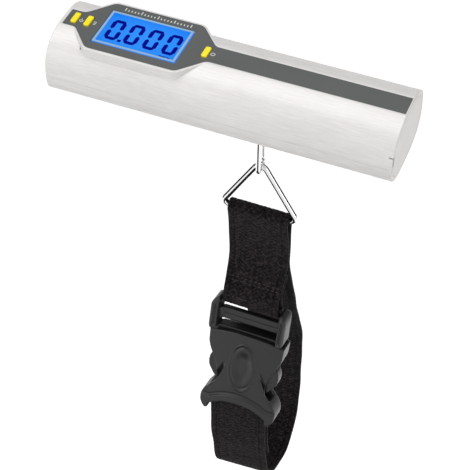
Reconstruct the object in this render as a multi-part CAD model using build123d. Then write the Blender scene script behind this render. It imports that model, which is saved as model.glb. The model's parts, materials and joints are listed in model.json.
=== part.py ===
from build123d import *
import math
import os

os.makedirs("parts", exist_ok=True)

# Millimetres. X runs along the body, -Y faces the user and the display, +Z is up.
# The origin is on the top of the body, over the hanging eye.

# Driving dimensions -----------------------------------------------------------------
BODY_LENGTH = 130.0
EYE_FROM_LEFT = 76.7        # the eye hangs off centre, beside the display
HALF_WIDTH = 17.4           # of the rounded body, at its widest level
WIDEST_Z = -14.7            # also the parting line of the two housings
UPPER_RISE = 14.92          # widest level to the crown, before the top is cut flat
LOWER_DROP = 11.0           # widest level to the underside
ROUNDNESS = 2.65            # exponent of the body's rounded section
WALL = 1.8
STRIP_HALF = 4.36           # dark label: half width of the narrow strip
HEAD_HALF = 13.4            # and of the display head
RIM = 0.9                   # bare lip of the housing around the label
WEB_WIDTH = 24.8
WEB_THICK = 1.4
RING_WIRE = 1.15            # wire radii
EYE_WIRE = 0.95
BAR_Z = -71.4               # centre of the ring's base bar
BUCKLE_TILT = 17.0          # degrees that the buckle leans, its lower end to the front
BUCKLE_Y = -7.25            # middle of the socket's mouth
BUCKLE_Z = -136.0

LEFT = -EYE_FROM_LEFT
RIGHT = BODY_LENGTH - EYE_FROM_LEFT
CENTRE = (LEFT + RIGHT) / 2


def body_x(distance):
    """X of a place given by its distance from the middle of the body."""
    return CENTRE + distance


def save(shape, node):
    shape.label = node
    export_step(shape, f"parts/{node}.step")


def box(x0, x1, y0, y1, z0, z1):
    """A box between two corners."""
    size = Box(x1 - x0, y1 - y0, z1 - z0)
    return Pos((x0 + x1) / 2, (y0 + y1) / 2, (z0 + z1) / 2) * size


def rod(x, y, z0, z1, radius):
    """An upright cylinder from z0 to z1."""
    return Pos(x, y, (z0 + z1) / 2) * Cylinder(radius, z1 - z0)


def slab(outline, z0, z1):
    """A plan outline extruded from z0 up to z1."""
    return Pos(0, 0, z0) * extrude(outline, z1 - z0)


# Body section -----------------------------------------------------------------------
def section_curve(inset, steps=14):
    """Points of the rounded section, (y, z), from the right of the top round to its left."""
    wide = HALF_WIDTH - inset
    points = []
    start = math.asin(min(1.0, -WIDEST_Z / UPPER_RISE) ** (ROUNDNESS / 2))
    for i in range(2 * steps + 1):
        angle = start - (math.pi / 2 + start) * i / (2 * steps)
        rise = (UPPER_RISE if angle > 0 else LOWER_DROP) - inset
        y = wide * math.cos(angle) ** (2 / ROUNDNESS) if math.cos(angle) > 1e-9 else 0.0
        z = WIDEST_Z + math.copysign(rise * abs(math.sin(angle)) ** (2 / ROUNDNESS), angle)
        points.append((y, z))
    return points


def section(inset):
    """The closed section as a face across the body's length."""
    right = section_curve(inset)
    left = [(-y, z) for y, z in reversed(right[:-1])]
    sides = Spline(*[(y, z) for y, z in right + left])
    top = Line(right[0], (-right[0][0], right[0][1]))
    return make_face([sides, top])


def along_body(inset, x0, x1):
    """The rounded section, shrunk by inset, from x0 to x1."""
    return extrude(Plane((x0, 0, 0), x_dir=(0, 1, 0), z_dir=(1, 0, 0)) * section(inset), x1 - x0)


HEAD_LEFT, HEAD_RIGHT = body_x(-50.6), body_x(-16.2)
NECK_LEFT, NECK_RIGHT = body_x(-58.6), body_x(-8.0)
LABEL_LEFT, LABEL_RIGHT = body_x(-63.8), body_x(64.4)


def label_outline(grow, left=LABEL_LEFT, right=LABEL_RIGHT):
    """Plan of the label: a strip that widens into the display head."""
    flare = grow * 0.4
    upper = [
        (left - grow, STRIP_HALF + grow),
        (NECK_LEFT - flare, STRIP_HALF + grow),
        (HEAD_LEFT - flare, HEAD_HALF + grow),
        (HEAD_RIGHT + flare, HEAD_HALF + grow),
        (NECK_RIGHT + flare, STRIP_HALF + grow),
        (right + grow, STRIP_HALF + grow),
    ]
    lower = [(x, -y) for x, y in reversed(upper)]
    face = make_face(Polyline(*upper, *lower, close=True))
    heads = face.vertices().filter_by(lambda v: abs(v.Y) > HEAD_HALF - 1)
    face = fillet(heads, 3.2 + grow)
    necks = face.vertices().filter_by(
        lambda v: abs(abs(v.Y) - STRIP_HALF - grow) < 0.01 and NECK_LEFT - 2 < v.X < NECK_RIGHT + 2
    )
    return fillet(necks, 3.0 - grow * 0.5)


# Display and buttons ----------------------------------------------------------------
LABEL_FLOOR = -0.5
LABEL_TOP = -0.1
SCREEN_X = body_x(-34.05)
SCREEN_LONG, SCREEN_WIDE = 32.3, 19.0
BAY_LONG, BAY_WIDE = 38.0, 25.0
BAY_ROOF = -1.4
BOARD_TOP, BOARD_THICK = -9.0, 1.6
BOARD_LEFT, BOARD_RIGHT = body_x(-62.0), body_x(-5.0)
BOARD_HALF = 10.2
BUTTONS = {
    "power_button": body_x(-60.5),
    "unit_button": body_x(-55.4),
    "zero_button": body_x(-9.84),
}
BUTTON_LONG, BUTTON_WIDE = 5.5, 2.2
HOLE_GAP = 0.12
SCREW_PLACES = [(body_x(x), side * 12.9) for x in (-56.5, 5.0) for side in (-1, 1)]
BOARD_SCREWS = [(body_x(x), side * 8.0) for x in (-57.5, -11.0) for side in (-1, 1)]


def screen_block(long, wide, z0, z1):
    """A block centred on the screen."""
    return box(SCREEN_X - long / 2, SCREEN_X + long / 2, -wide / 2, wide / 2, z0, z1)


def button_block(x, long, wide, z0, z1, corner):
    """A rounded bar across the body at x."""
    return slab(Pos(x, 0) * RectangleRounded(wide, long, corner), z0, z1)


def upper_housing():
    outer = along_body(0, LEFT, RIGHT)
    platform = slab(label_outline(RIM, NECK_LEFT - 2, NECK_RIGHT + 2), -9.0, 0)
    platform = fillet(platform.faces().sort_by(Axis.Z)[-1].edges(), 0.35)
    shell = (outer + platform) & box(LEFT, RIGHT, -30, 30, WIDEST_Z, 5)
    shell -= along_body(WALL, LEFT - 1, RIGHT + 1)
    shell -= screen_block(BAY_LONG, BAY_WIDE, -16, BAY_ROOF)
    for x, y in SCREW_PLACES:
        shell += rod(x, y, WIDEST_Z, -6.0, 2.3) & along_body(WALL / 2, LEFT, RIGHT)
    for x, y in BOARD_SCREWS:
        shell += rod(x, y, BOARD_TOP, -1.3, 2.1) & along_body(WALL / 2, LEFT, RIGHT)
    for x, y in SCREW_PLACES:
        shell -= rod(x, y, WIDEST_Z - 1, -7.5, 1.02)
    for x, y in BOARD_SCREWS:
        shell -= rod(x, y, BOARD_TOP - 1, -3.4, 0.92)
    shell -= slab(label_outline(0.05), LABEL_FLOOR, 1)
    shell -= screen_block(SCREEN_LONG + 0.2, SCREEN_WIDE + 0.2, -5, 1)
    for x in BUTTONS.values():
        grow = 2 * HOLE_GAP
        shell -= button_block(x, BUTTON_LONG + grow, BUTTON_WIDE + grow, -5, 1, 0.8)
    return shell - nail_notch()


def nail_notch():
    """A finger-nail slot at the front of the battery cover's edge."""
    return box(RIGHT - 1.6, RIGHT + 1, -17.0, -15.1, -13.6, -9.4)


EYE_GAP = 2.75              # each leg of the eye from the middle
CELL_LEFT, CELL_RIGHT = -37.8, 3.2
CELL_HALF = 4.7
CELL_LOW, CELL_HIGH = -20.5, -12.5
PLATE_LOW = -21.7
CELL_SCREWS = (-34.0, -28.5)


def lower_housing():
    outer = along_body(0, LEFT, RIGHT)
    shell = outer & box(LEFT, RIGHT, -30, 30, -40, WIDEST_Z)
    shell -= along_body(WALL, LEFT - 1, RIGHT + 1)
    inside = along_body(WALL / 2, LEFT, RIGHT)
    shell += box(CELL_LEFT, CELL_LEFT + 12.5, -7, 7, -26, PLATE_LOW) & inside
    for x in (12.0, 24.0, 36.0):
        shell += box(x, x + 1.4, -11, 11, -26, TRAY_LOW - 0.05) & inside
    for x, y in SCREW_PLACES:
        shell += rod(x, y, -26, WIDEST_Z, 3.0) & inside
    for x, y in SCREW_PLACES:
        shell -= rod(x, y, -30, -18.8, 2.1)
        shell -= rod(x, y, -30, WIDEST_Z + 1, 1.15)
    for x in CELL_SCREWS:
        shell -= rod(x, 0, -23.8, -20, 1.55)
    shell -= slab(SlotOverall(2 * EYE_GAP + 4.4, 4.4, rotation=90), -30, -20)
    return shell


def left_end_cap():
    plate = along_body(WALL + 0.1, LEFT, LEFT + 2.0)
    skirt = along_body(WALL + 0.1, LEFT + 2.0, LEFT + 5.0) - along_body(WALL + 1.4, LEFT + 1, LEFT + 6)
    skirt &= box(LEFT, LEFT + 5, -30, 30, -40, -11.0)
    return plate + skirt


def label_overlay():
    sheet = slab(label_outline(0), LABEL_FLOOR, LABEL_TOP)
    sheet -= screen_block(SCREEN_LONG + 0.2, SCREEN_WIDE + 0.2, -2, 1)
    for x in BUTTONS.values():
        grow = 2 * HOLE_GAP
        sheet -= button_block(x, BUTTON_LONG + grow, BUTTON_WIDE + grow, -2, 1, 0.8)
    return sheet


def button(x):
    """A button cap with the flange that keeps it in and the foot that reaches its switch."""
    cap = button_block(x, BUTTON_LONG, BUTTON_WIDE, -2.0, 0.6, 0.7)
    cap = fillet(cap.faces().sort_by(Axis.Z)[-1].edges(), 0.3)
    flange = button_block(x, 7.2, 3.6, -2.8, -1.9, 0.7)
    foot = box(x - 0.8, x + 0.8, -1.8, 1.8, -4.45, -2.7)
    return cap + flange + foot


def display_window():
    pane = screen_block(SCREEN_LONG, SCREEN_WIDE, BAY_ROOF, 0.0)
    return chamfer(pane.faces().sort_by(Axis.Z)[-1].edges(), 0.3)


def lcd_glass():
    return screen_block(35.2, 21.4, -4.4, BAY_ROOF - 0.05)


def lcd_frame():
    frame = screen_block(37.6, 24.2, BOARD_TOP, BAY_ROOF - 0.05)
    return frame - screen_block(35.4, 21.6, BOARD_TOP - 1, 0)


def backlight_panel():
    return screen_block(34.4, 17.4, -7.4, -4.45)


def zebra_connectors():
    strips = [box(SCREEN_X - 15, SCREEN_X + 15, y, y + 1.5, BOARD_TOP, -4.4) for y in (-10.5, 9.0)]
    return Compound(children=strips)


def circuit_board():
    board = box(BOARD_LEFT, BOARD_RIGHT, -BOARD_HALF, BOARD_HALF, BOARD_TOP - BOARD_THICK, BOARD_TOP)
    for x, y in BOARD_SCREWS:
        board -= rod(x, y, BOARD_TOP - 3, BOARD_TOP + 1, 1.1)
    return board


BOARD_LOW = BOARD_TOP - BOARD_THICK


def controller_chip():
    """A dome of black epoxy over the bare chip, under the board."""
    dome = Pos(SCREEN_X, 0, BOARD_LOW + 6.4) * Sphere(8.0)
    return dome & box(SCREEN_X - 9, SCREEN_X + 9, -9, 9, BOARD_LOW - 3, BOARD_LOW)


def board_components():
    """Small parts soldered under the board: a crystal, two capacitors and four resistors."""
    crystal = Pos(SCREEN_X + 12, 6, BOARD_LOW - 0.8) * Box(8.0, 3.2, 1.6)
    caps = [rod(SCREEN_X + x, -5.5, BOARD_LOW - 1.4, BOARD_LOW, 1.9) for x in (9.5, 14.5)]
    chips = [Pos(SCREEN_X - 12, y, BOARD_LOW - 0.3) * Box(2.0, 1.2, 0.6) for y in (-6, -2, 2, 6)]
    return Compound(children=[crystal] + caps + chips)


def tact_switches():
    switches = []
    for x in BUTTONS.values():
        body = box(x - 2.2, x + 2.2, -2.2, 2.2, BOARD_TOP, -5.7)
        switches.append(body + rod(x, 0, -5.7, -5.0, 1.1))
    return Compound(children=switches)


def pan_screw(x, y, head_low, head_high, tip, shank, head, upward):
    """A screw with a cross slot; its tip is above the head when upward is true."""
    if upward:
        body = rod(x, y, head_low, head_high, head) + rod(x, y, head_high, tip, shank)
        slot_z = head_low
    else:
        body = rod(x, y, head_low, head_high, head) + rod(x, y, tip, head_low, shank)
        slot_z = head_high
    reach = head * 1.1
    cross = Box(reach, 0.35, 0.9) + Box(0.35, reach, 0.9)
    return body - Pos(x, y, slot_z) * cross


def board_screws():
    low = BOARD_LOW - 1.1
    return Compound(children=[
        pan_screw(x, y, low, BOARD_LOW, -4.2, 0.9, 1.7, True) for x, y in BOARD_SCREWS
    ])


def housing_screws():
    return Compound(children=[
        pan_screw(x, y, -20.2, -18.8, -8.4, 1.0, 1.9, True) for x, y in SCREW_PLACES
    ])


# Weighing parts ---------------------------------------------------------------------
def load_cell():
    """A beam that bends a little under load, thinned by a double hole at its middle."""
    beam = box(CELL_LEFT, CELL_RIGHT, -CELL_HALF, CELL_HALF, CELL_LOW, CELL_HIGH)
    middle = (CELL_LEFT + CELL_RIGHT) / 2
    mid_z = (CELL_LOW + CELL_HIGH) / 2
    for dx in (-3.6, 3.6):
        beam -= Pos(middle + dx, 0, mid_z) * Rot(90, 0, 0) * Cylinder(2.9, 20)
    beam -= box(middle - 3.6, middle + 3.6, -10, 10, mid_z - 1.2, mid_z + 1.2)
    for x in CELL_SCREWS:
        beam -= rod(x, 0, CELL_LOW - 1, CELL_HIGH + 1, 1.6)
    for y in (-EYE_GAP, EYE_GAP):
        beam -= rod(0, y, CELL_LOW - 1, CELL_HIGH + 1, EYE_WIRE + 0.05)
    return beam


def strain_gauges():
    middle = (CELL_LEFT + CELL_RIGHT) / 2
    pads = []
    for dx in (-3.6, 3.6):
        for z0, z1 in ((CELL_HIGH, CELL_HIGH + 0.3), (CELL_LOW - 0.3, CELL_LOW)):
            pads.append(box(middle + dx - 2.2, middle + dx + 2.2, -2.0, 2.0, z0, z1))
    return Compound(children=pads)


def cell_plate():
    plate = box(CELL_LEFT, CELL_LEFT + 12.5, -6.5, 6.5, PLATE_LOW, CELL_LOW)
    for x in CELL_SCREWS:
        plate -= rod(x, 0, -30, -10, 1.6)
    return plate


def cell_screws():
    return Compound(children=[
        pan_screw(x, 0, CELL_HIGH, CELL_HIGH + 1.5, -23.6, 1.5, 2.6, False) for x in CELL_SCREWS
    ])


EYE_BEND_Z = -46.3          # centre of the eye's bend


def hanger_eye():
    """A U-shaped wire through the load cell, with its bend downwards."""
    top = -9.4
    path = FilletPolyline(
        (0, -EYE_GAP, top), (0, -EYE_GAP, EYE_BEND_Z - EYE_GAP),
        (0, EYE_GAP, EYE_BEND_Z - EYE_GAP), (0, EYE_GAP, top), radius=EYE_GAP - 0.001,
    )
    return sweep(Plane((0, -EYE_GAP, top), z_dir=(0, 0, -1)) * Circle(EYE_WIRE), path=path)


def eye_clamp_plate():
    plate = box(-3.0, 3.0, -4.6, 4.6, CELL_HIGH, CELL_HIGH + 1.0)
    for y in (-EYE_GAP, EYE_GAP):
        plate -= rod(0, y, -20, -5, EYE_WIRE + 0.05)
    return plate


def eye_nuts():
    nuts = []
    for y in (-EYE_GAP, EYE_GAP):
        nut = slab(Pos(0, y) * RegularPolygon(2.2, 6), CELL_HIGH + 1.0, CELL_HIGH + 2.6)
        nuts.append(nut - rod(0, y, -20, -5, EYE_WIRE + 0.01))
    return Compound(children=nuts)


# Battery compartment ----------------------------------------------------------------
CELL_Y, BATTERY_Z, BATTERY_R = 5.6, -13.5, 5.2
BATTERY_LEFT, BATTERY_RIGHT = 7.2, 51.4
TRAY_LEFT, TRAY_RIGHT = 3.4, 46.0
TRAY_LOW = -20.3
COVER_PLATE = 1.5


def battery(side):
    """One AAA cell, its raised end to the left on one side and to the right on the other."""
    nub = 0.8
    can_left = BATTERY_LEFT + (nub if side < 0 else 0)
    can_right = BATTERY_RIGHT - (nub if side > 0 else 0)
    can = Cylinder(BATTERY_R, can_right - can_left)
    can = fillet(can.edges(), 0.4)
    tip = Cylinder(1.9, nub)
    tip_x = can_right + nub / 2 if side > 0 else can_left - nub / 2
    along = Rot(0, 90, 0)
    can = Pos((can_left + can_right) / 2, side * CELL_Y, BATTERY_Z) * along * can
    return can + Pos(tip_x, side * CELL_Y, BATTERY_Z) * along * tip


def battery_tray():
    tray = box(TRAY_LEFT, TRAY_RIGHT, -11.9, 11.9, TRAY_LOW, BATTERY_Z)
    for side in (-1, 1):
        groove = Pos((TRAY_LEFT + TRAY_RIGHT) / 2 + 1, side * CELL_Y, BATTERY_Z)
        tray -= groove * Rot(0, 90, 0) * Cylinder(BATTERY_R + 0.2, TRAY_RIGHT - TRAY_LEFT)
    tray += box(TRAY_LEFT, TRAY_LEFT + 1.0, -11.9, 11.9, TRAY_LOW, -8.0)
    return tray & along_body(WALL + 0.05, LEFT, RIGHT)


def battery_contacts():
    """Two sprung-metal plates on the tray's end wall."""
    x = TRAY_LEFT + 1.0
    plates = [
        box(x, x + 0.3, side * CELL_Y - 3.6, side * CELL_Y + 3.6, -17.5, -9.5) for side in (-1, 1)
    ]
    return Compound(children=plates)


def battery_springs():
    """A conical spring in front of each plate, drawn as its closed turns."""
    turns = []
    for side in (-1, 1):
        for i, radius in enumerate((3.0, 2.5, 2.0)):
            x = TRAY_LEFT + 1.3 + 0.25 + 0.52 * i
            turns.append(Pos(x, side * CELL_Y, BATTERY_Z) * Rot(0, 90, 0) * Torus(radius, 0.25))
    return Compound(children=turns)


def battery_cover():
    """The right end of the body: a flat plate with a skirt that plugs into the housings."""
    gap = WALL + 0.1
    plate = along_body(gap, RIGHT - COVER_PLATE, RIGHT)
    skirt = along_body(gap, RIGHT - 6.0, RIGHT - COVER_PLATE)
    skirt -= along_body(WALL + 1.4, RIGHT - 7, RIGHT - COVER_PLATE)
    latch = Pos(RIGHT - 4.6, -HALF_WIDTH + WALL + 0.12, WIDEST_Z) * Sphere(0.6)
    return plate + skirt + (latch & box(RIGHT - 6, RIGHT, -15.55, -10, -20, -10))


def cover_contact():
    return box(RIGHT - COVER_PLATE - 0.4, RIGHT - COVER_PLATE, -9, 9, -17.0, -10.0)


# Ring -------------------------------------------------------------------------------
RING_HALF = 15.8            # base half width at the sharp corners of the centre line
RING_TOP = -44.35


def triangle_ring():
    """A closed triangle of round wire with rounded corners."""
    path = FilletPolyline(
        (RING_HALF, 0, BAR_Z), (0, 0, RING_TOP), (-RING_HALF, 0, BAR_Z),
        radius=(2.2, 2.6, 2.2), close=True,
    )
    return sweep(Plane(path @ 0, z_dir=path % 0) * Circle(RING_WIRE), path=path)


# Webbing ----------------------------------------------------------------------------
END_BAR_Z = 15.4            # of the plug's bar, over the mouth of the socket
FOOT_BAR_DOWN = 33.8        # of the socket's bar, under its mouth
WRAP = RING_WIRE + 0.3 + WEB_THICK / 2
END_BAR = 1.2               # radius of the buckle's end bars


def buckle_point(depth, down):
    """(y, z) of a place in the buckle: depth behind its middle, and down from the mouth."""
    tilt = math.radians(BUCKLE_TILT)
    return (
        BUCKLE_Y + depth * math.cos(tilt) - down * math.sin(tilt),
        BUCKLE_Z - depth * math.sin(tilt) - down * math.cos(tilt),
    )


def shifted(edge, away):
    """A copy of an edge, drawn in (y, z), moved sideways by a distance."""
    steps = max(10, round(edge.length / 5))
    row = []
    for i in range(steps + 1):
        place = edge.position_at(i / steps)
        ahead = edge.tangent_at(i / steps)
        row.append((place.X - ahead.Y * away, place.Y + ahead.X * away))
    return Spline(*row, tangents=(edge.tangent_at(0), edge.tangent_at(1)))


def band(path):
    """Webbing whose middle follows a list of edges that run smoothly into each other."""
    near = [shifted(edge, WEB_THICK / 2) for edge in path]
    far = [shifted(edge, -WEB_THICK / 2) for edge in path]
    ends = [Line(near[0] @ 0, far[0] @ 0), Line(near[-1] @ 1, far[-1] @ 1)]
    return across(make_face(near + far + ends))


def across(face):
    """A face drawn in (y, z), extruded over the webbing's width."""
    plane = Plane((-WEB_WIDTH / 2, 0, 0), x_dir=(0, 1, 0), z_dir=(1, 0, 0))
    return extrude(plane * face, WEB_WIDTH)


SPLIT = (7.2, -113.6)       # where the hidden back layer passes behind the buckle
SPLIT_WAY = (0.36, -0.93)
DOWN, UP = (0, -1), (0, 1)
BAR_END = buckle_point(0, -END_BAR_Z)
FOOT_BAR = buckle_point(0.2, FOOT_BAR_DOWN)
HOLD = END_BAR + 0.15 + WEB_THICK / 2


def webbing_upper():
    """Sewn round the buckle's end bar, up, over the ring's bar and down the back."""
    y, z = BAR_END
    return band([
        Spline((2.2, -103.5), (1.5, -107.0), (-1.2, -113.0), (y + HOLD, z), tangents=(DOWN, DOWN)),
        ThreePointArc((y + HOLD, z), (y, z - HOLD), (y - HOLD, z)),
        Spline((y - HOLD, z), (-4.9, -115.5), (-2.2, -109.0), (-0.1, -102.0), (0.5, -94.0),
               (0.0, -85.0), (-WRAP, BAR_Z), tangents=(UP, UP), tangent_scalars=(1, 1)),
        ThreePointArc((-WRAP, BAR_Z), (0, BAR_Z + WRAP), (WRAP, BAR_Z)),
        Spline((WRAP, BAR_Z), (2.0, -84.0), (2.7, -97.0), (4.6, -105.5), SPLIT,
               tangents=(DOWN, SPLIT_WAY)),
    ])


def webbing_lower():
    """From behind the buckle, down round the bottom of the loop and up into the socket."""
    y, z = FOOT_BAR
    return band([
        Spline(
            SPLIT, (14.8, -137), (24.0, -163), (26.4, -187), (26.4, -200), (25.0, -212.0),
            (21.6, -222.0), (17.0, -230.4), (9.8, -236.0), (1.0, -232.8), (-7.8, -225.8),
            (-13.4, -217.5), (-16.5, -204.5), (-18.9, -191.5), (y - HOLD, z),
            tangents=(SPLIT_WAY, UP),
        ),
        ThreePointArc((y - HOLD, z), (y, z + HOLD), (y + HOLD, z)),
        Spline((y + HOLD, z), (-16.2, -184.0), (-15.3, -196.0), (-13.2, -204.5),
               tangents=(DOWN, (0.25, -0.97))),
    ])


# Buckle: drawn upright with the mouth of its socket at z = 0, then leaned into place --
MOUTH_HALF = 16.2
INSIDE_HALF = 15.0          # half width inside the mouth
BUCKLE_HALF = 4.9           # half thickness
CAVITY_HALF = 2.9
CROWN = 130.0               # radius of the socket's bowed front
LATCH_X, LATCH_Z = 10.6, -2.3
LATCH_REACH = 14.75
WEB_GAP = 12.7              # half width of the openings that the webbing passes
LIP_INSIDE = 3.15           # the arched lip over the webbing starts this far in front of middle


def place_buckle(shape):
    return Pos(0, BUCKLE_Y, BUCKLE_Z) * Rot(-BUCKLE_TILT, 0, 0) * shape


def front_view(face, y0, y1):
    """A face drawn in (x, z), extruded from y0 to y1."""
    return extrude(Plane((0, y1, 0), x_dir=(1, 0, 0), z_dir=(0, -1, 0)) * face, y1 - y0)


def socket_outline():
    """Front outline of the socket: broad mouth, waist and spread lower wings."""
    side = Line((MOUTH_HALF, 0), (16.0, -5.0))
    shoulder = Spline((16.0, -5.0), (14.9, -9.0), (12.2, -14.5), (10.8, -20.0), (11.0, -24.5))
    wing = Spline((11.0, -24.5), (13.8, -28.0), (16.5, -32.5), (16.3, -36.5), (14.0, -39.3))
    foot = Polyline((14.0, -39.3), (12.9, -38.8), (12.8, -36.8))
    right = [side, shoulder, wing, *foot.edges()]
    left = [mirror(edge, about=Plane.YZ) for edge in right]
    arch = ThreePointArc((12.8, -36.8), (0, -32.4), (-12.8, -36.8))
    crown = ThreePointArc((-MOUTH_HALF, 0), (0, 2.0), (MOUTH_HALF, 0))
    return make_face(right + left + [crown, arch])


def crowned_front(depth):
    """All that lies behind the socket's bowed front face, or behind a level some depth under it."""
    return Pos(0, CROWN - BUCKLE_HALF, -20) * Cylinder(CROWN - depth, 60)


def buckle_female():
    blank = front_view(socket_outline(), -BUCKLE_HALF, BUCKLE_HALF)
    blank &= crowned_front(0)
    blank -= box(-INSIDE_HALF, INSIDE_HALF, -CAVITY_HALF, CAVITY_HALF, -27.5, 3)
    blank -= box(-20, 20, -CAVITY_HALF, CAVITY_HALF, -27.5, -10.0)
    blank -= box(-WEB_GAP, WEB_GAP, -LIP_INSIDE, 12, -45, -29.5)
    bar = Pos(0, 0.2, -FOOT_BAR_DOWN) * Rot(0, 90, 0) * Cylinder(END_BAR, 2 * WEB_GAP + 1.0)
    oval = front_view(Pos(0, -14.0) * (Ellipse(5.7, 10.6) - Ellipse(4.9, 9.8)), -20, 0)
    blank -= oval - crowned_front(0.4)
    return place_buckle(blank + bar)


def buckle_male():
    rail = front_view(Pos(14.45, 9.4) * RectangleRounded(3.5, 15.6, 1.7), -BUCKLE_HALF, BUCKLE_HALF)
    rail &= slab(Pos(14.45, 0) * RectangleRounded(3.5, 2 * BUCKLE_HALF, 1.7), -1, 20)
    rail &= Pos(0, 0, 11.0) * Rot(0, 90, 0) * Cylinder(6.4, 60) + box(-30, 30, -8, 8, -30, 11.0)
    rail &= front_view(Pos(0, 2.2) * RectangleRounded(2 * MOUTH_HALF, 30.0, 4.6), -8, 8)
    frame = rail + mirror(rail, about=Plane.YZ)
    frame += Pos(0, 0, END_BAR_Z) * Rot(0, 90, 0) * Cylinder(END_BAR, 26.0)
    plate = box(-13, 13, -2.4, 1.0, 5.6, 11.0)
    frame += fillet(plate.edges().filter_by(Axis.X), 0.8)
    frame += box(-14, 14, -2.6, 2.6, -0.9, 2.6)
    frame += front_view(Pos(0, -11.0) * RectangleRounded(9.0, 23.0, 3.0), -1.6, 1.6)
    return place_buckle(frame)


def latch_arm(side):
    """A springy side arm with its release pad, squeezed inwards to open the buckle."""
    root = Pos(LATCH_X, LATCH_Z) * Circle(1.2)
    stem = make_face(Polyline(
        (9.4, LATCH_Z), (11.8, LATCH_Z), (12.0, -11.0), (9.7, -11.0), close=True))
    pad = make_face([
        Line((9.7, -11.0), (12.0, -11.0)),
        Spline((12.0, -11.0), (14.1, -13.0), (LATCH_REACH, -16.5), (13.8, -20.5), (10.6, -24.5)),
        Line((10.6, -24.5), (9.3, -23.0)),
        Line((9.3, -23.0), (9.7, -11.0)),
    ])
    arm = front_view(root + stem + pad, -2.5, 2.5)
    return place_buckle(arm if side > 0 else mirror(arm, about=Plane.YZ))


PARTS = {
    "upper_housing": upper_housing,
    "lower_housing": lower_housing,
    "left_end_cap": left_end_cap,
    "label_overlay": label_overlay,
    "display_window": display_window,
    "lcd_glass": lcd_glass,
    "lcd_frame": lcd_frame,
    "backlight_panel": backlight_panel,
    "zebra_connectors": zebra_connectors,
    "circuit_board": circuit_board,
    "controller_chip": controller_chip,
    "board_components": board_components,
    "tact_switches": tact_switches,
    "board_screws": board_screws,
    "housing_screws": housing_screws,
    "load_cell": load_cell,
    "strain_gauges": strain_gauges,
    "cell_plate": cell_plate,
    "cell_screws": cell_screws,
    "hanger_eye": hanger_eye,
    "eye_clamp_plate": eye_clamp_plate,
    "eye_nuts": eye_nuts,
    "battery_tray": battery_tray,
    "battery_contacts": battery_contacts,
    "battery_springs": battery_springs,
    "battery_cover": battery_cover,
    "cover_contact": cover_contact,
    "triangle_ring": triangle_ring,
    "webbing_upper": webbing_upper,
    "webbing_lower": webbing_lower,
    "buckle_female": buckle_female,
    "buckle_male": buckle_male,
}

for node, make in PARTS.items():
    save(make(), node)
for node, x in BUTTONS.items():
    save(button(x), node)
for node, side in (("battery_front", -1), ("battery_rear", 1)):
    save(battery(side), node)
for node, side in (("latch_arm_left", -1), ("latch_arm_right", 1)):
    save(latch_arm(side), node)
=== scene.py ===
import json
import math
import bpy
import bmesh
import numpy as np
from mathutils import Matrix, Vector, noise


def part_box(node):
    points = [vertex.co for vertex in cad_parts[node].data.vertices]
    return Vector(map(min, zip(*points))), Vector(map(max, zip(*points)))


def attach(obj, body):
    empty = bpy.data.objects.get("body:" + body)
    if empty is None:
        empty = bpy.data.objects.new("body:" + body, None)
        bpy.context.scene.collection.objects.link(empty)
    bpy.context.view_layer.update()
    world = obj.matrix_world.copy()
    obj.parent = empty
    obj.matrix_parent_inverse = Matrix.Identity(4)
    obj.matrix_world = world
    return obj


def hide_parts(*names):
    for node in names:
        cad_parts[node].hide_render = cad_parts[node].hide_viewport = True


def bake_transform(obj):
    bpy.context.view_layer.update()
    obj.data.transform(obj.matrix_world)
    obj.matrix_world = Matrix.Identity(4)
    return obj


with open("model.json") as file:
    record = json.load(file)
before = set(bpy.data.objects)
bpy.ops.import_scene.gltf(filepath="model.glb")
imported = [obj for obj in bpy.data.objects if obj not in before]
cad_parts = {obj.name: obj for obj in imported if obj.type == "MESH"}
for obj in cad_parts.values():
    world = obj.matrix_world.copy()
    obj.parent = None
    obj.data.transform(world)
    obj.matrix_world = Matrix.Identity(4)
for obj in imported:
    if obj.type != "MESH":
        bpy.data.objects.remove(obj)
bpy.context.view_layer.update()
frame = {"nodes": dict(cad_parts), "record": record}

# Lengths are in millimetres where a name or comment says so, and turned to metres by MM.
MM = 0.001
scene = bpy.context.scene


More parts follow.
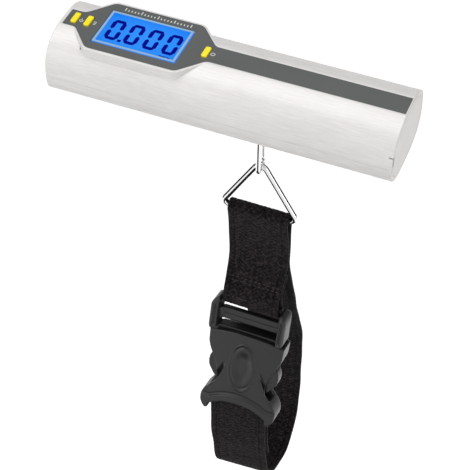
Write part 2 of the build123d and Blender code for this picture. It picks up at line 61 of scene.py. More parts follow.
# Materials ----------------------------------------------------------------------------
class Graph:
    """A node material, built by short calls. Inputs are given by name, as values or sockets."""

    def __init__(self, name, **shader):
        self.material = bpy.data.materials.new(name)
        self.material.use_nodes = True
        self.tree = self.material.node_tree
        self.shader = self.tree.nodes["Principled BSDF"]
        self.set(self.shader, shader)

    def set(self, node, values):
        for key, value in values.items():
            socket = node.inputs[int(key[1:])] if key[1:].isdigit() else node.inputs[key.replace("_", " ")]
            if isinstance(value, bpy.types.NodeSocket):
                self.tree.links.new(value, socket)
            else:
                socket.default_value = value

    def add(self, kind, settings=None, **values):
        node = self.tree.nodes.new("ShaderNode" + kind)
        for key, value in (settings or {}).items():
            setattr(node, key, value)
        self.set(node, values)
        return node

    def math(self, operation, a, b=0.0, c=0.0):
        return self.add("Math", {"operation": operation}, _0=a, _1=b, _2=c).outputs[0]

    def mix(self, factor, a, b):
        node = self.add("Mix", {"data_type": "RGBA"}, _0=factor)
        for index, value in ((6, a), (7, b)):
            self.set(node, {f"_{index}": value})
        return node.outputs[2]

    def spread(self, value, low, high, to_low, to_high):
        """Maps a value from one range to another, and holds it there."""
        return self.add("MapRange", Value=value, From_Min=low, From_Max=high,
                        To_Min=to_low, To_Max=to_high).outputs[0]

    def place(self, scale=(1, 1, 1), turn=(0, 0, 0)):
        where = self.add("TexCoord").outputs["Object"]
        return self.add("Mapping", Vector=where, Scale=scale, Rotation=turn).outputs[0]

    def noise(self, where, scale, detail=3.0, rough=0.5):
        return self.add("TexNoise", Vector=where, Scale=scale, Detail=detail, Roughness=rough).outputs[0]

    def bump(self, height, strength, distance, normal=None):
        node = self.add("Bump", Strength=strength, Distance=distance, Height=height)
        if normal is not None:
            self.set(node, {"Normal": normal})
        return node.outputs[0]

    def edge(self, radius):
        """Normals of a small rounding along the piece's sharp edges."""
        return self.add("Bevel", {"samples": 6}, Radius=radius).outputs[0]

    def finish(self, **values):
        self.set(self.shader, values)
        return self.material


def grey(value):
    return (value, value, value, 1.0)


def silver_paint():
    """Painted plastic with fine drawn grain along X, cloudy tone and small bright flakes."""
    g = Graph("silver_paint", Metallic=0.12, Coat_Weight=0.12, Coat_Roughness=0.3)
    grain = g.noise(g.place((160, 1700, 1700)), 1.0, 4.0, 0.65)
    cloud = g.noise(g.place((1, 2, 2)), 40.0, 3.0)
    flake = g.noise(g.place(), 5200.0, 1.0)
    uneven = g.math("MULTIPLY_ADD", grain, 0.7, g.math("MULTIPLY", cloud, 0.3))
    dark, light = (0.640, 0.622, 0.612, 1), (0.735, 0.718, 0.708, 1)
    color = g.mix(g.spread(uneven, 0.35, 0.65, 0, 1), dark, light)
    color = g.mix(g.spread(flake, 0.60, 0.72, 0.0, 0.25), color, grey(0.95))
    rough = g.spread(grain, 0.3, 0.7, 0.38, 0.52)
    normal = g.bump(grain, 0.08, 0.0002, g.edge(0.00045))
    return g.finish(Base_Color=color, Roughness=rough, Normal=g.bump(flake, 0.03, 0.00002, normal))


def label_print():
    """The dark printed film, with a fine matt tooth."""
    g = Graph("label_print", Specular_IOR_Level=0.45)
    fine = g.noise(g.place(), 3800.0, 2.0)
    broad = g.noise(g.place(), 60.0, 2.0)
    color = g.mix(broad, (0.076, 0.082, 0.080, 1), (0.096, 0.103, 0.101, 1))
    return g.finish(Base_Color=color, Roughness=g.spread(fine, 0.3, 0.7, 0.38, 0.52),
                    Normal=g.bump(fine, 0.12, 0.00003))


def chromed_wire():
    """Bright plating with a little haze."""
    g = Graph("chromed_wire", Metallic=1.0)
    haze = g.noise(g.place(), 260.0, 3.0)
    lines = g.noise(g.place((2500, 2500, 300)), 1.0, 2.0)
    return g.finish(Base_Color=g.mix(haze, grey(0.82), grey(0.92)),
                    Roughness=g.spread(haze, 0.3, 0.7, 0.05, 0.14), Normal=g.bump(lines, 0.03, 0.00003))


def moulded(name, dark, light, rough, grain=0.10, edge=0.0003):
    """Plastic from a fine-grained mould, with slightly uneven colour and gloss."""
    g = Graph(name, Specular_IOR_Level=0.5)
    fine = g.noise(g.place(), 2600.0, 3.0)
    broad = g.noise(g.place(), 120.0, 3.0)
    return g.finish(Base_Color=g.mix(broad, dark, light), Normal=g.bump(fine, grain, 0.00005, g.edge(edge)),
                    Roughness=g.spread(broad, 0.3, 0.7, rough - 0.05, rough + 0.06))


def metal(name, color, rough, stretch=(900, 60, 900), metallic=1.0):
    """Plated or machined metal with drawn lines."""
    g = Graph(name, Metallic=metallic)
    lines = g.noise(g.place(stretch), 1.0, 3.0)
    spots = g.noise(g.place(), 350.0, 2.0)
    dark = tuple(c * 0.8 for c in color[:3]) + (1.0,)
    return g.finish(Base_Color=g.mix(spots, dark, color),
                    Normal=g.bump(lines, 0.08, 0.00005, g.edge(0.00015)),
                    Roughness=g.spread(lines, 0.3, 0.7, rough - 0.06, rough + 0.08))


def webbing_cloth():
    """Woven nylon: threads follow the strap's own coordinates, across and along, in millimetres."""
    g = Graph("webbing_cloth", Sheen_Weight=0.04, Sheen_Roughness=0.5, Specular_IOR_Level=0.10)
    strap = g.add("SeparateXYZ", Vector=g.add("UVMap", {"uv_map": "strap"}).outputs[0])
    across, along = strap.outputs[0], strap.outputs[1]
    columns = g.math("SINE", g.math("MULTIPLY", across, 2 * math.pi / 0.62))
    rows = g.math("SINE", g.math("MULTIPLY", along, 2 * math.pi / 0.5))
    thread = g.math("MULTIPLY", columns, rows)
    fuzz = g.noise(g.place(), 2400.0, 4.0, 0.65)
    painted_rib_shade = g.add("Attribute", {"attribute_name": "painted_rib_shade"}).outputs["Fac"]
    wear = g.noise(g.place(), 180.0, 3.0)
    fleck = g.noise(g.place(), 750.0, 3.0, 0.6)
    # Painted shade: the colour is lighter on the tops of the woven ribs and darker in their hollows and
    # between the threads. It follows the same rib heights as the geometry and the thread pattern of the bump.
    # The flecks and the wear are random tone.
    tone = g.math("ADD", g.spread(thread, -1, 1, -0.12, 0.12), g.math("MULTIPLY", painted_rib_shade, 0.38))
    tone = g.math("ADD", tone, g.spread(fleck, 0.42, 0.68, -0.15, 0.75))
    tone = g.math("MULTIPLY_ADD", wear, 0.25, tone)
    color = g.mix(tone, (0.0011, 0.0009, 0.0010, 1), (0.031, 0.0225, 0.0240, 1))
    normal = g.bump(thread, 0.45, 0.00014)
    return g.finish(Base_Color=color, Roughness=g.spread(fuzz, 0.3, 0.7, 0.62, 0.86),
                    Normal=g.bump(fuzz, 0.25, 0.0001, normal))


def lcd_blue():
    """The lit display: brightest at its middle, where the light guide is."""
    g = Graph("lcd_blue", Roughness=0.6, Specular_IOR_Level=0.0)
    centre, half = screen_middle()
    where = g.add("SeparateXYZ", Vector=g.add("TexCoord").outputs["Object"])
    far_x = g.math("DIVIDE", g.math("SUBTRACT", where.outputs[0], centre.x), half.x)
    far_y = g.math("DIVIDE", g.math("SUBTRACT", where.outputs[1], centre.y), half.y)
    far = g.math("ADD", g.math("MULTIPLY", far_x, far_x), g.math("MULTIPLY", far_y, far_y))
    grid = g.noise(g.place((900, 900, 1)), 1.0, 1.0)
    amount = g.math("MULTIPLY_ADD", grid, 0.12, g.spread(far, 0.0, 1.9, 0.0, 1.0))
    color = g.mix(amount, (0.03, 0.29, 1.0, 1), (0.006, 0.22, 0.95, 1))
    return g.finish(Base_Color=(0.01, 0.03, 0.08, 1), Emission_Color=color, Emission_Strength=0.92)


def screen_middle():
    low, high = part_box("display_window")
    return (low + high) / 2, (high - low) / 2


def clear_acrylic():
    """The window. Its index is below real acrylic's 1.49, so that its gloss doesn't veil the display."""
    g = Graph("clear_acrylic", Transmission_Weight=1.0, IOR=1.10)
    smear = g.noise(g.place(), 90.0, 2.0)
    return g.finish(Base_Color=(0.97, 0.985, 1.0, 1), Roughness=g.spread(smear, 0.3, 0.7, 0.0, 0.03))


def printed(name, color, glow=0.0):
    """Ink, or a lit or dark part of the display."""
    g = Graph(name, Roughness=0.5)
    speck = g.noise(g.place(), 2000.0, 2.0)
    ink = g.mix(speck, tuple(c * 0.85 for c in color[:3]) + (1.0,), color)
    if glow:
        return g.finish(Base_Color=(0, 0, 0.01, 1), Emission_Color=ink, Emission_Strength=glow,
                        Specular_IOR_Level=0.0)
    return g.finish(Base_Color=ink)


MATERIALS = {
    "silver_plastic": silver_paint(),
    "label_print": label_print(),
    "clear_acrylic": clear_acrylic(),
    "lcd": lcd_blue(),
    "white_plastic": moulded("white_plastic", grey(0.80), (0.88, 0.88, 0.85, 1), 0.42),
    "light_guide": moulded("light_guide", (0.62, 0.74, 0.86, 1), (0.74, 0.84, 0.94, 1), 0.2),
    "conductive_rubber": moulded("conductive_rubber", grey(0.03), (0.16, 0.15, 0.15, 1), 0.7),
    "board_laminate": moulded("board_laminate", (0.02, 0.17, 0.07, 1), (0.04, 0.26, 0.11, 1), 0.3),
    "black_epoxy": moulded("black_epoxy", grey(0.012), grey(0.022), 0.16),
    "component_body": moulded("component_body", grey(0.16), (0.24, 0.22, 0.18, 1), 0.4),
    "switch_body": moulded("switch_body", grey(0.02), grey(0.04), 0.4),
    "zinc_steel": metal("zinc_steel", (0.62, 0.62, 0.64, 1), 0.28),
    "cell_aluminium": metal("cell_aluminium", (0.78, 0.78, 0.80, 1), 0.32, (60, 900, 900)),
    "gauge_film": moulded("gauge_film", (0.55, 0.27, 0.05, 1), (0.72, 0.40, 0.10, 1), 0.35),
    "chromed_wire": chromed_wire(),
    "battery_can": metal("battery_can", (0.10, 0.33, 0.17, 1), 0.25, (40, 700, 700), 0.6),
    "webbing": webbing_cloth(),
    "buckle_plastic": moulded("buckle_plastic", (0.007, 0.0072, 0.0076, 1),
                              (0.014, 0.0142, 0.0148, 1), 0.34, 0.2),
    "yellow_plastic": moulded("yellow_plastic", (0.86, 0.70, 0.008, 1), (0.95, 0.82, 0.02, 1), 0.32, 0.05),
}
for part in frame["record"]["subparts"]:
    node = frame["nodes"][part["node"]]
    node.data.materials.clear()
    node.data.materials.append(MATERIALS[part["material_slot"]])


# Pieces -------------------------------------------------------------------------------
def new_piece(name, mesh, slot, body=None, material=None):
    """An object for a mesh, with its slot's material, riding on a body."""
    thing = bpy.data.objects.new(name, mesh)
    scene.collection.objects.link(thing)
    mesh.materials.clear()
    mesh.materials.append(material or MATERIALS[slot])
    if body:
        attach(thing, body)
    return thing


def mesh_of(name, points, faces, smooth=True):
    """A mesh from points in millimetres."""
    mesh = bpy.data.meshes.new(name)
    mesh.from_pydata([tuple(c * MM for c in p) for p in points], [], faces)
    mesh.polygons.foreach_set("use_smooth", [smooth] * len(mesh.polygons))
    mesh.update()
    return mesh


# The webbing: one strip, in (y, z) millimetres ----------------------------------------------
WEB_WIDTH, WEB_THICK = 24.8, 1.4
BUCKLE_TILT = math.radians(17.0)
BUCKLE_Y, BUCKLE_Z = -7.25, -136.0
BAR_Z = -71.4
WRAP = 1.15 + 0.3 + WEB_THICK / 2       # ring wire, clearance, half the webbing
HOLD = 1.2 + 0.15 + WEB_THICK / 2       # the buckle's bars in the same way
SELVEDGE = 2.6                          # width of the plain band along each edge
RIB = 0.13                              # height of the woven ribs
SOFT_EDGE = 0.62                        # radius of the strap's edges
STEP = 0.38                             # spacing of the cross-sections along the strap


def buckle_point(depth, down):
    """(y, z) of a place in the buckle: depth behind its middle, and down from the mouth."""
    return (
        BUCKLE_Y + depth * math.cos(BUCKLE_TILT) - down * math.sin(BUCKLE_TILT),
        BUCKLE_Z - depth * math.sin(BUCKLE_TILT) - down * math.cos(BUCKLE_TILT),
    )


def round_bar(centre, radius, first, turn):
    """Points round a bar, from the side at angle first, through turn half turns."""
    angles = [first + turn * math.pi * i / 6 for i in range(7)]
    return [(centre[0] + radius * math.cos(a), centre[1] + radius * math.sin(a)) for a in angles]


def smooth_line(points, step):
    """Evenly spaced points on a smooth curve through the given ones."""
    p = np.array(points, float)
    p = np.vstack([2 * p[0] - p[1], p, 2 * p[-1] - p[-2]])
    dense = []
    for a, b, c, d in zip(p[:-3], p[1:-2], p[2:-1], p[3:]):
        t0, t1, t2 = (math.sqrt(np.linalg.norm(v - u)) for u, v in ((a, b), (b, c), (c, d)))
        out = ((b - a) / t0 - (c - a) / (t0 + t1) + (c - b) / t1) * t1
        into = ((c - b) / t1 - (d - b) / (t1 + t2) + (d - c) / t2) * t1
        for t in np.linspace(0, 1, 40, endpoint=False):
            h = (2 * t**3 - 3 * t**2 + 1, t**3 - 2 * t**2 + t, -2 * t**3 + 3 * t**2, t**3 - t**2)
            dense.append(h[0] * b + h[1] * out + h[2] * c + h[3] * into)
    dense = np.array(dense + [p[-2]])
    run = np.concatenate([[0], np.cumsum(np.linalg.norm(np.diff(dense, axis=0), axis=1))])
    count = max(8, round(run[-1] / step))
    at = np.linspace(0, run[-1], count + 1)
    return np.column_stack([np.interp(at, run, dense[:, k]) for k in (0, 1)])


def step_up(value, low, high):
    """0 below low, 1 above high, smooth between."""
    t = min(1.0, max(0.0, (value - low) / (high - low)))
    return t * t * (3 - 2 * t)


def weave(across, along):
    """Height of the woven ribs, about -1 to 1: chevron twill between two plain selvedges."""
    edge = WEB_WIDTH / 2 - abs(across)
    uneven = noise.noise(Vector((across * 0.45, along * 0.45, 0.0)))
    if edge < SELVEDGE:
        rib = math.sin(2 * math.pi * along / 1.25) * 0.55
    else:
        fold = abs((across / 4.9) % 1.0 * 2 - 1) * 2.45
        rib = math.sin(2 * math.pi * (along + 0.9 * fold + 0.5 * uneven) / 1.9)
        rib *= 0.75 + 0.25 * math.cos(2 * math.pi * across / 1.6)
    rib = rib * (0.8 + 0.7 * uneven) + 0.6 * noise.noise(Vector((across * 1.6, along * 1.6, 5.0)))
    return rib - 1.4 * math.exp(-((edge - SELVEDGE) / 0.22) ** 2)


def settle(name, u, z):
    """How the strap strays from its line: gathered at the buckle's bar, and turned at its lowest fold."""
    if name == "strap_front":
        gather = step_up(-z, 94.0, 118.0) * step_up(z, -127.0, -120.0)
        return -(0.9 + 0.035 * u) * gather, 0.0, 0.0
    turn = step_up(-z, 190.0, 225.0)
    return 0.0, 0.06 * u * turn, 0.3 * turn


def webbing(name, line):
    """A woven strap along a line, with soft edges, ribs in its surface and its own coordinates."""
    half_w, half_t, corner = WEB_WIDTH / 2, WEB_THICK / 2, SOFT_EDGE
    inner = np.linspace(-(half_w - corner), half_w - corner, 60)
    bend = np.linspace(0, math.pi / 2, 4)[1:]
    across = [-(half_w - corner) - corner * math.sin(a) for a in bend[::-1]]
    across += list(inner) + [half_w - corner + corner * math.sin(a) for a in bend]
    thick = [half_t if abs(u) <= half_w - corner else
             half_t * math.sqrt(max(0.0, 1 - ((abs(u) - half_w + corner) / corner) ** 2)) for u in across]
    ahead = np.gradient(line, axis=0)
    ahead /= np.linalg.norm(ahead, axis=1)[:, None]
    side = np.column_stack([-ahead[:, 1], ahead[:, 0]])
    run = np.concatenate([[0], np.cumsum(np.linalg.norm(np.diff(line, axis=0), axis=1))])
    ring = [(u, t, 1) for u, t in zip(across, thick)] + [(u, t, -1) for u, t in zip(across, thick)][-2:0:-1]
    points, strap, painted_rib_shade = [], [], []
    for (y, z), (ny, nz), s in zip(line, side, run):
        waver = 0.12 * math.sin(s / 7.3) + 0.08 * math.sin(s / 3.1 + 1.0)
        for u, t, face in ring:
            high = weave(u, s + (0.8 if face < 0 else 0.0))
            lift = face * (t + RIB * high * min(1.0, t / half_t) ** 2)
            dx, dy, dz = settle(name, u, z)
            wide = u + dx + waver * (u / half_w) ** 3
            points.append((wide, y + ny * lift + dy, z + nz * lift + dz))
            strap.append((u, s))
            painted_rib_shade.append(high)
    loop = len(ring)
    faces = []
    for i in range(len(line) - 1):
        for j in range(loop):
            k = (j + 1) % loop
            faces.append((i * loop + j, i * loop + k, (i + 1) * loop + k, (i + 1) * loop + j))
    last = (len(line) - 1) * loop
    n = len(across)
    for base, turned in ((0, False), (last, True)):
        for j in range(n - 1):
            back = [loop - j if j else 0, loop - j - 1 if j + 1 < n - 1 else n - 1]
            quad = [j, j + 1, back[1], back[0]]
            quad = [q for i, q in enumerate(quad) if q not in quad[:i]]
            quad = [base + q for q in (quad if turned else quad[::-1])]
            faces.append(tuple(quad))
    mesh = mesh_of(name, points, faces)
    layer = mesh.uv_layers.new(name="strap")
    corner_of = np.zeros(len(mesh.loops), int)
    mesh.loops.foreach_get("vertex_index", corner_of)
    layer.data.foreach_set("uv", np.array(strap)[corner_of].ravel())
    # The rib heights are kept as an attribute, from which the material paints shade into the hollows of the
    # ribs.
    mesh.attributes.new("painted_rib_shade", "FLOAT", "POINT").data.foreach_set("value", np.array(painted_rib_shade, np.float32))
    face_outward(mesh)
    return mesh


def face_outward(mesh):
    """Turns all faces outward."""
    work = bmesh.new()
    work.from_mesh(mesh)
    bmesh.ops.recalc_face_normals(work, faces=work.faces)
    work.to_mesh(mesh)
    work.free()


MALE_BAR = buckle_point(0, -15.4)
FOOT_BAR = buckle_point(0.2, 33.8)
STUB = [(2.2, -103.5), (1.5, -107.0), (-1.2, -113.0)] + round_bar(MALE_BAR, HOLD, 0.0, -1)
FACE = (
    [(-4.9, -115.5), (-2.2, -109.0), (-0.1, -102.0), (0.5, -94.0), (0.0, -85.0)]
    + round_bar((0.0, BAR_Z), WRAP, math.pi, -0.5)
)
BACK_LINE = (
    round_bar((0.0, BAR_Z), WRAP, math.pi / 2, -0.5)
    + [(2.0, -84.0), (2.7, -97.0), (4.6, -105.5), (7.2, -113.6), (14.8, -137.0), (24.0, -163.0),
       (26.4, -187.0), (26.4, -200.0), (25.0, -212.0), (22.7, -222.8), (18.6, -231.2), (10.8, -235.2),
       (0.4, -231.9), (-8.8, -225.7), (-14.0, -217.6), (-16.7, -204.5), (-18.9, -191.5)]
    + round_bar(FOOT_BAR, HOLD, math.pi, -1)
    + [(-16.2, -184.0), (-15.3, -196.0), (-13.2, -204.5)]
)
front = new_piece("strap_front", webbing("strap_front", smooth_line(STUB + FACE, STEP)), "webbing")
back = new_piece("strap_loop", webbing("strap_loop", smooth_line(BACK_LINE, STEP)), "webbing", "strap")
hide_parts("webbing_upper")
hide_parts("webbing_lower")


# The buckle: moulded shapes with rounded edges, from the CAD solids ---------------------------
def to_buckle(point):
    """A point in metres in the buckle's own upright frame, in millimetres."""
    y, z = point[1] / MM - BUCKLE_Y, point[2] / MM - BUCKLE_Z
    c, s = math.cos(BUCKLE_TILT), math.sin(BUCKLE_TILT)
    return point[0] / MM, y * c - z * s, y * s + z * c


FRONT_WAY = Vector((0, -math.cos(BUCKLE_TILT), math.sin(BUCKLE_TILT)))


def bell(value, width):
    """A smooth bump of height 1 at zero."""
    return math.exp(-((value / width) ** 2))


def socket_relief(x, z):
    """Relief of the socket's front: a dished oval, a raised lip at the foot, a recess on each wing."""
    oval = math.hypot(x / 5.2, (z + 14.0) / 10.2)
    height = -0.85 * (1 - step_up(oval, 0.35, 0.93)) + 0.22 * bell(oval - 1.12, 0.05)
    arch = -36.8 + 4.4 * (1 - (x / 12.8) ** 2) if abs(x) < 12.8 else -36.8
    height += 0.55 * (1 - step_up(z - arch, 3.4, 4.2)) - 0.25 * bell(z - arch - 4.6, 0.5)
    t = (abs(x) - 8.2) / 5.0
    if -0.2 < t < 1.2:
        height -= 1.6 * bell(z - (-16.0 - 10.6 * t), 1.6) * step_up(t, -0.2, 0.3) * (1 - step_up(t, 0.8, 1.2))
    return height * FRONT_WAY


def plug_relief(x, z):
    """Rails that stand forward, each with a groove up its front, and a groove across the plate."""
    side = step_up(abs(x), 11.9, 12.7)
    along = step_up(z, 2.5, 4.0) * (1 - step_up(z, 12.5, 14.5))
    groove = 0.5 * bell(abs(x) - 14.9, 1.1) - 1.1 * bell(abs(x) - 14.3, 0.5)
    out = side * (1.2 + groove * along) - 0.3 * bell(z - 8.2, 0.35) * (abs(x) < 11.5)
    return out * FRONT_WAY + side * Vector((-0.6, 0, -0.8 * z / 17))


def pad_relief(x, z):
    """The release pads stand proud of the socket's waist."""
    out = 0.6 * step_up(abs(x), 11.5, 13.5) * step_up(z, -21.5, -18.0) * (1 - step_up(z, -12.0, -9.5))
    return Vector((math.copysign(out, x), 0, 0))


def softened(name, node, body, voxel, relief, depth):
    """A copy of a CAD solid with rounded edges and relief: on its front, or all over where depth is 0."""
    mesh = frame["nodes"][node].data.copy()
    thing = new_piece(name, mesh, "buckle_plastic")
    remesh = thing.modifiers.new("round", "REMESH")
    remesh.mode, remesh.voxel_size, remesh.use_smooth_shade = "VOXEL", voxel * MM, True
    smooth = thing.modifiers.new("smooth", "SMOOTH")
    smooth.factor, smooth.iterations = 0.5, 5
    done = bpy.data.meshes.new_from_object(thing.evaluated_get(bpy.context.evaluated_depsgraph_get()))
    thing.modifiers.clear()
    thing.data = done
    done.materials.clear()
    done.materials.append(MATERIALS["buckle_plastic"])
    shifts = []
    for v in done.vertices:
        x, y, z = to_buckle(v.co)
        facing = step_up(v.normal.dot(FRONT_WAY), 0.35, 0.85) * (y < -depth) if depth else 1.0
        shifts.append(relief(x, z) * facing * MM)
    for v, shift in zip(done.vertices, shifts):
        v.co += shift
    done.polygons.foreach_set("use_smooth", [True] * len(done.polygons))
    done.update()
    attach(thing, body)
    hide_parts(node)


softened("socket_moulding", "buckle_female", "strap", 0.30, socket_relief, 2.6)
softened("plug_moulding", "buckle_male", "buckle_plug", 0.30, plug_relief, 0)
softened("latch_moulding_left", "latch_arm_left", "left_latch", 0.25, pad_relief, 0)
softened("latch_moulding_right", "latch_arm_right", "right_latch", 0.25, pad_relief, 0)


# Stitching on the front of the strap ----------------------------------------------------------
def front_surface(z):
    """(y, way out) on the front of the strap's front layer at a level in millimetres."""
    line = smooth_line(STUB[-1:] + FACE, 0.5)
    y = float(np.interp(z, line[:, 1], line[:, 0]))
    slope = float(np.interp(z + 1, line[:, 1], line[:, 0])) - y
    normal = Vector((0, -1, slope)).normalized()
    return y - WEB_THICK / 2, normal


STITCH_PITCH = 1.9


def stitches():
    """Rows of thread across the strap, sewn through both layers over the buckle's bar."""
    thread = bmesh.new()
    rows = [(-108.4, -10.4, 10.4), (-110.0, -10.4, 10.4), (-117.5, -11.0, -2.0)]    # level, from x, to x
    for z, first, last in rows:
        y, normal = front_surface(z)
        count = round((last - first) / STITCH_PITCH)
        for i in range(count):
            x = first + (i + 0.5) * (last - first) / count
            shape = Matrix.Diagonal((0.62, 0.2, 0.2, 1))
            tilt = Matrix.Rotation(0.10 * math.sin(i * 2.4 + z), 4, "Y")
            where = Matrix.Translation(Vector((x, y, z)) * MM + normal * 0.02 * MM)
            bmesh.ops.create_icosphere(thread, subdivisions=2, radius=1.0,
                                       matrix=where @ tilt @ Matrix.Scale(MM, 4) @ shape)
    mesh = bpy.data.meshes.new("strap_stitches")
    thread.to_mesh(mesh)
    thread.free()
    mesh.polygons.foreach_set("use_smooth", [True] * len(mesh.polygons))
    return mesh


THREAD = moulded("sewing_thread", (0.010, 0.009, 0.009, 1), (0.040, 0.034, 0.033, 1), 0.7, 0.3, 0.0)
sewing = new_piece("strap_stitches", stitches(), "webbing", material=THREAD)
for soft in (front, sewing):
    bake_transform(soft)


# Display and print ----------------------------------------------------------------------------
MIDDLE_X = -11.7                        # middle of the body
LCD_TOP = -1.45                         # level of the glass that carries the digits


def flat_mesh(name, shapes, low, high):
    """Thin solid shapes, each a closed outline of (x, y), between two levels."""
    points, faces = [], []
    for shape in shapes:
        base, n = len(points), len(shape)
        points += [(x, y, low) for x, y in shape] + [(x, y, high) for x, y in shape]
        faces.append(tuple(base + i for i in reversed(range(n))))
        faces.append(tuple(base + n + i for i in range(n)))
        for i in range(n):
            j = (i + 1) % n
            faces.append((base + i, base + j, base + n + j, base + n + i))
    mesh = mesh_of(name, points, faces, smooth=False)
    face_outward(mesh)
    return mesh


def bar(x, y, long, wide, upright=False):
    """A display segment with pointed ends, along X, or along Y when upright."""
    tip = wide / 2
    outline = [(-long / 2, 0), (-long / 2 + tip, tip), (long / 2 - tip, tip), (long / 2, 0),
               (long / 2 - tip, -tip), (-long / 2 + tip, -tip)]
    if upright:
        outline = [(b, a) for a, b in outline]
    return [(x + a, y + b) for a, b in outline]


def rectangle(x0, x1, y0, y1):
    return [(x0, y0), (x1, y0), (x1, y1), (x0, y1)]


DIGIT_WIDE, DIGIT_TALL, STROKE = 5.3, 11.3, 1.55
DIGIT_PITCH, FIRST_DIGIT, DIGIT_BASE = 7.37, MIDDLE_X - 47.8, -5.1


def digit_zero(left):
    """The six lit segments of a nought."""
    mid_x, mid_y = left + DIGIT_WIDE / 2, DIGIT_BASE + DIGIT_TALL / 2
    inset = STROKE / 2
    across = DIGIT_WIDE - STROKE * 0.55
    up = DIGIT_TALL / 2 - STROKE * 0.72
    shapes = [bar(mid_x, y, across, STROKE) for y in (DIGIT_BASE + inset, DIGIT_BASE + DIGIT_TALL - inset)]
    for x in (left + inset, left + DIGIT_WIDE - inset):
        for y in (mid_y - DIGIT_TALL / 4 + inset * 0.35, mid_y + DIGIT_TALL / 4 - inset * 0.35):
            shapes.append(bar(x, y, up, STROKE, upright=True))
    return shapes


def battery_mark(x, y):
    """A small battery symbol, outlined, with a nub."""
    w, h, t = 3.6, 1.3, 0.28
    return [
        rectangle(x, x + w, y, y + t), rectangle(x, x + w, y + h - t, y + h),
        rectangle(x, x + t, y, y + h), rectangle(x + w - t, x + w, y, y + h),
        rectangle(x + w, x + w + 0.4, y + 0.35, y + h - 0.35),
        rectangle(x + 0.6, x + 2.2, y + 0.45, y + h - 0.45),
    ]


segments = [shape for i in range(4) for shape in digit_zero(FIRST_DIGIT + DIGIT_PITCH * i)]
point_x = MIDDLE_X - 41.5
segments.append(rectangle(point_x - 0.65, point_x + 0.65, DIGIT_BASE - 0.1, DIGIT_BASE + 1.2))
segments += battery_mark(FIRST_DIGIT + DIGIT_PITCH * 3 + 0.6, -7.6)
NAVY = printed("lcd_navy", (0.004, 0.006, 0.30, 1), 0.9)
digits = flat_mesh("lcd_digits", segments, LCD_TOP + 0.004, LCD_TOP + 0.014)
new_piece("lcd_digits", digits, "lcd", "scale_body", NAVY)

centre, half = screen_middle()
sx, sy, hx, hy = centre.x / MM, centre.y / MM, half.x / MM - 0.32, half.y / MM - 0.32
BORDER = 0.85
border = [
    rectangle(sx - hx, sx + hx, sy + hy - BORDER, sy + hy),
    rectangle(sx - hx, sx + hx, sy - hy, sy - hy + BORDER),
    rectangle(sx - hx, sx - hx + BORDER, sy - hy + BORDER, sy + hy - BORDER),
    rectangle(sx + hx - BORDER, sx + hx, sy - hy + BORDER, sy + hy - BORDER),
]
PALE = printed("lcd_border", (0.50, 0.76, 1.0, 1), 0.66)
new_piece("lcd_border", flat_mesh("lcd_border", border, -0.03, 0.03), "label_print", "scale_body", PALE)


def ring_shapes(x, y, outer, inner, first=0.0, last=2 * math.pi, steps=20):
    """Short flat pieces that make up an arc."""
    cuts = [first + (last - first) * i / steps for i in range(steps + 1)]
    shapes = []
    for a0, a1 in zip(cuts, cuts[1:]):
        corners = ((inner, a0), (outer, a0), (outer, a1), (inner, a1))
        shapes.append([(x + r * math.cos(a), y + r * math.sin(a)) for r, a in corners])
    return shapes


TICKS, TICK_PITCH = 21, 1.28


def label_marks():
    """Generic marks: a row of graduations over the display and a sign beside each button."""
    shapes = []
    for i in range(TICKS):
        x = MIDDLE_X - 46.0 + i * TICK_PITCH
        tall = 1.7 if i % 5 == 0 else 0.95
        shapes.append(rectangle(x - 0.17, x + 0.17, 10.7, 10.7 + tall))
    power, unit, zero = (MIDDLE_X + d for d in (-60.5, -55.4, -9.84))
    shapes += ring_shapes(power + 2.35, -0.4, 0.75, 0.52, math.radians(130), math.radians(410))
    shapes.append(rectangle(power + 2.24, power + 2.46, -0.3, 0.75))
    shapes += [rectangle(unit + 1.9, unit + 2.9, y - 0.12, y + 0.12) for y in (-0.7, 0.0, 0.7)]
    shapes += ring_shapes(zero + 2.5, 0.0, 0.85, 0.6)
    return shapes


WHITE_INK = printed("white_ink", (0.78, 0.79, 0.78, 1))
marks = flat_mesh("label_marks", label_marks(), -0.105, -0.085)
new_piece("label_marks", marks, "label_print", "scale_body", WHITE_INK)


# Floor, light and camera ----------------------------------------------------------------------
def area_light(name, place, target, size, power):
    lamp = bpy.data.lights.new(name, "AREA")
    lamp.shape, lamp.size, lamp.size_y = "RECTANGLE", size[0], size[1]
    lamp.energy = power
    thing = bpy.data.objects.new(name, lamp)
    scene.collection.objects.link(thing)
    thing.location = place
    thing.rotation_euler = (Vector(target) - Vector(place)).to_track_quat("-Z", "Y").to_euler()


FLOOR_Z = -0.75
bpy.ops.mesh.primitive_plane_add(size=14, location=(0, 0, FLOOR_Z))
floor = bpy.context.object
floor.name = "floor"
ground = Graph("pale_floor", Roughness=0.9, Specular_IOR_Level=0.1)
floor.data.materials.append(ground.finish(
    Base_Color=ground.mix(ground.noise(ground.place(), 2.0), grey(0.90), grey(0.93)),
    Emission_Color=grey(1.0), Emission_Strength=0.35))


def flag(name, place, size, lean, turn):
    """A black card that only shows in reflections, where it gives the bright wires their dark lines."""
    bpy.ops.mesh.primitive_plane_add(size=1, location=place, rotation=(lean, 0, turn))
    card = bpy.context.object
    card.name = name
    card.scale = (size[0], size[1], 1)
    card.data.materials.append(BLACK_CARD)
    card.visible_camera = card.visible_diffuse = card.visible_shadow = False


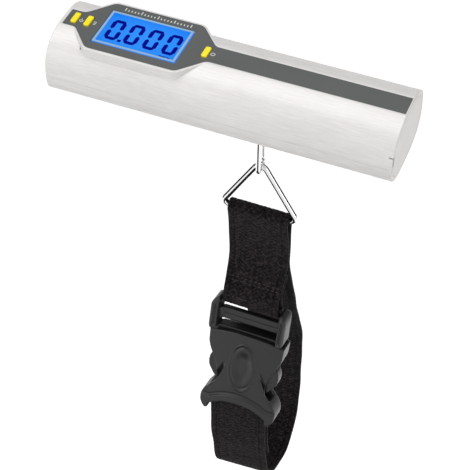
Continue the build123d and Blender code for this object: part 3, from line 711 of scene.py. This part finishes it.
card_paint = Graph("black_card", Roughness=0.9, Specular_IOR_Level=0.1)
BLACK_CARD = card_paint.finish(
    Base_Color=card_paint.mix(card_paint.noise(card_paint.place(), 5.0), grey(0.008), grey(0.012)))
flag("flag_below", (-0.08, -0.36, FLOOR_Z + 0.005), (0.78, 0.98), 0.0, 0.0)
flag("flag_left", (-1.0, 0.3, -0.46), (1.3, 0.56), math.pi / 2, math.pi / 2)
flag("flag_right", (0.78, 0.72, -0.12), (0.8, 0.5), math.pi / 2, math.radians(129))
area_light("top_softbox", (-0.3, 0.25, 1.1), (0, 0, -0.05), (1.3, 0.9), 9.0)
area_light("front_softbox", (-0.9, -1.0, 0.35), (0, 0, -0.1), (0.9, 1.1), 5.2)
area_light("right_softbox", (1.2, -0.35, 0.25), (0, 0, -0.1), (0.5, 1.0), 2.5)

AZIMUTH, ELEVATION, ROLL = math.radians(21.44), math.radians(46.32), math.radians(0.657)
LOOK_AT = Vector((-5.8, -10.6, -75.9)) * MM
DISTANCE = 0.560
BACK = Vector((math.sin(AZIMUTH) * math.cos(ELEVATION), -math.cos(AZIMUTH) * math.cos(ELEVATION),
               math.sin(ELEVATION)))
LEVEL = Vector((math.cos(AZIMUTH), math.sin(AZIMUTH), 0))
RISE = BACK.cross(LEVEL)
RIGHT = LEVEL * math.cos(ROLL) + RISE * math.sin(ROLL)
UP = RISE * math.cos(ROLL) - LEVEL * math.sin(ROLL)

# A bright room with a dark band round it, at a set place in the world. The wires reflect it as dark
# edges, and it dims the light on everything a little.
world = bpy.data.worlds.new("studio")
scene.world = world
world.use_nodes = True
nodes, links = world.node_tree.nodes, world.node_tree.links
nodes["Background"].inputs["Strength"].default_value = 0.72
toward = nodes.new("ShaderNodeVectorMath")
toward.operation = "DOT_PRODUCT"
toward.inputs[1].default_value = BACK
halved = nodes.new("ShaderNodeMath")
halved.operation = "MULTIPLY_ADD"
halved.inputs[1].default_value = halved.inputs[2].default_value = 0.5
shades = nodes.new("ShaderNodeValToRGB")
for at, shade in ((0.22, 0.95), (0.28, 0.02), (0.58, 0.02), (0.66, 0.95)):
    shades.color_ramp.elements.new(at).color = grey(shade)
shades.color_ramp.elements[0].color = grey(0.95)
links.new(nodes.new("ShaderNodeTexCoord").outputs["Generated"], toward.inputs[0])
links.new(toward.outputs["Value"], halved.inputs[0])
links.new(halved.outputs[0], shades.inputs[0])
links.new(shades.outputs[0], nodes["Background"].inputs["Color"])

lens = bpy.data.cameras.new("camera")
camera = bpy.data.objects.new("camera", lens)
scene.collection.objects.link(camera)
facing = Matrix((RIGHT, UP, BACK)).transposed().to_4x4()
camera.matrix_world = Matrix.Translation(LOOK_AT + BACK * DISTANCE) @ facing
lens.sensor_width = 36.0
lens.lens = 112.97
lens.clip_start = 0.01
scene.camera = camera
scene.view_settings.view_transform = "Standard"
scene.view_settings.look = "None"
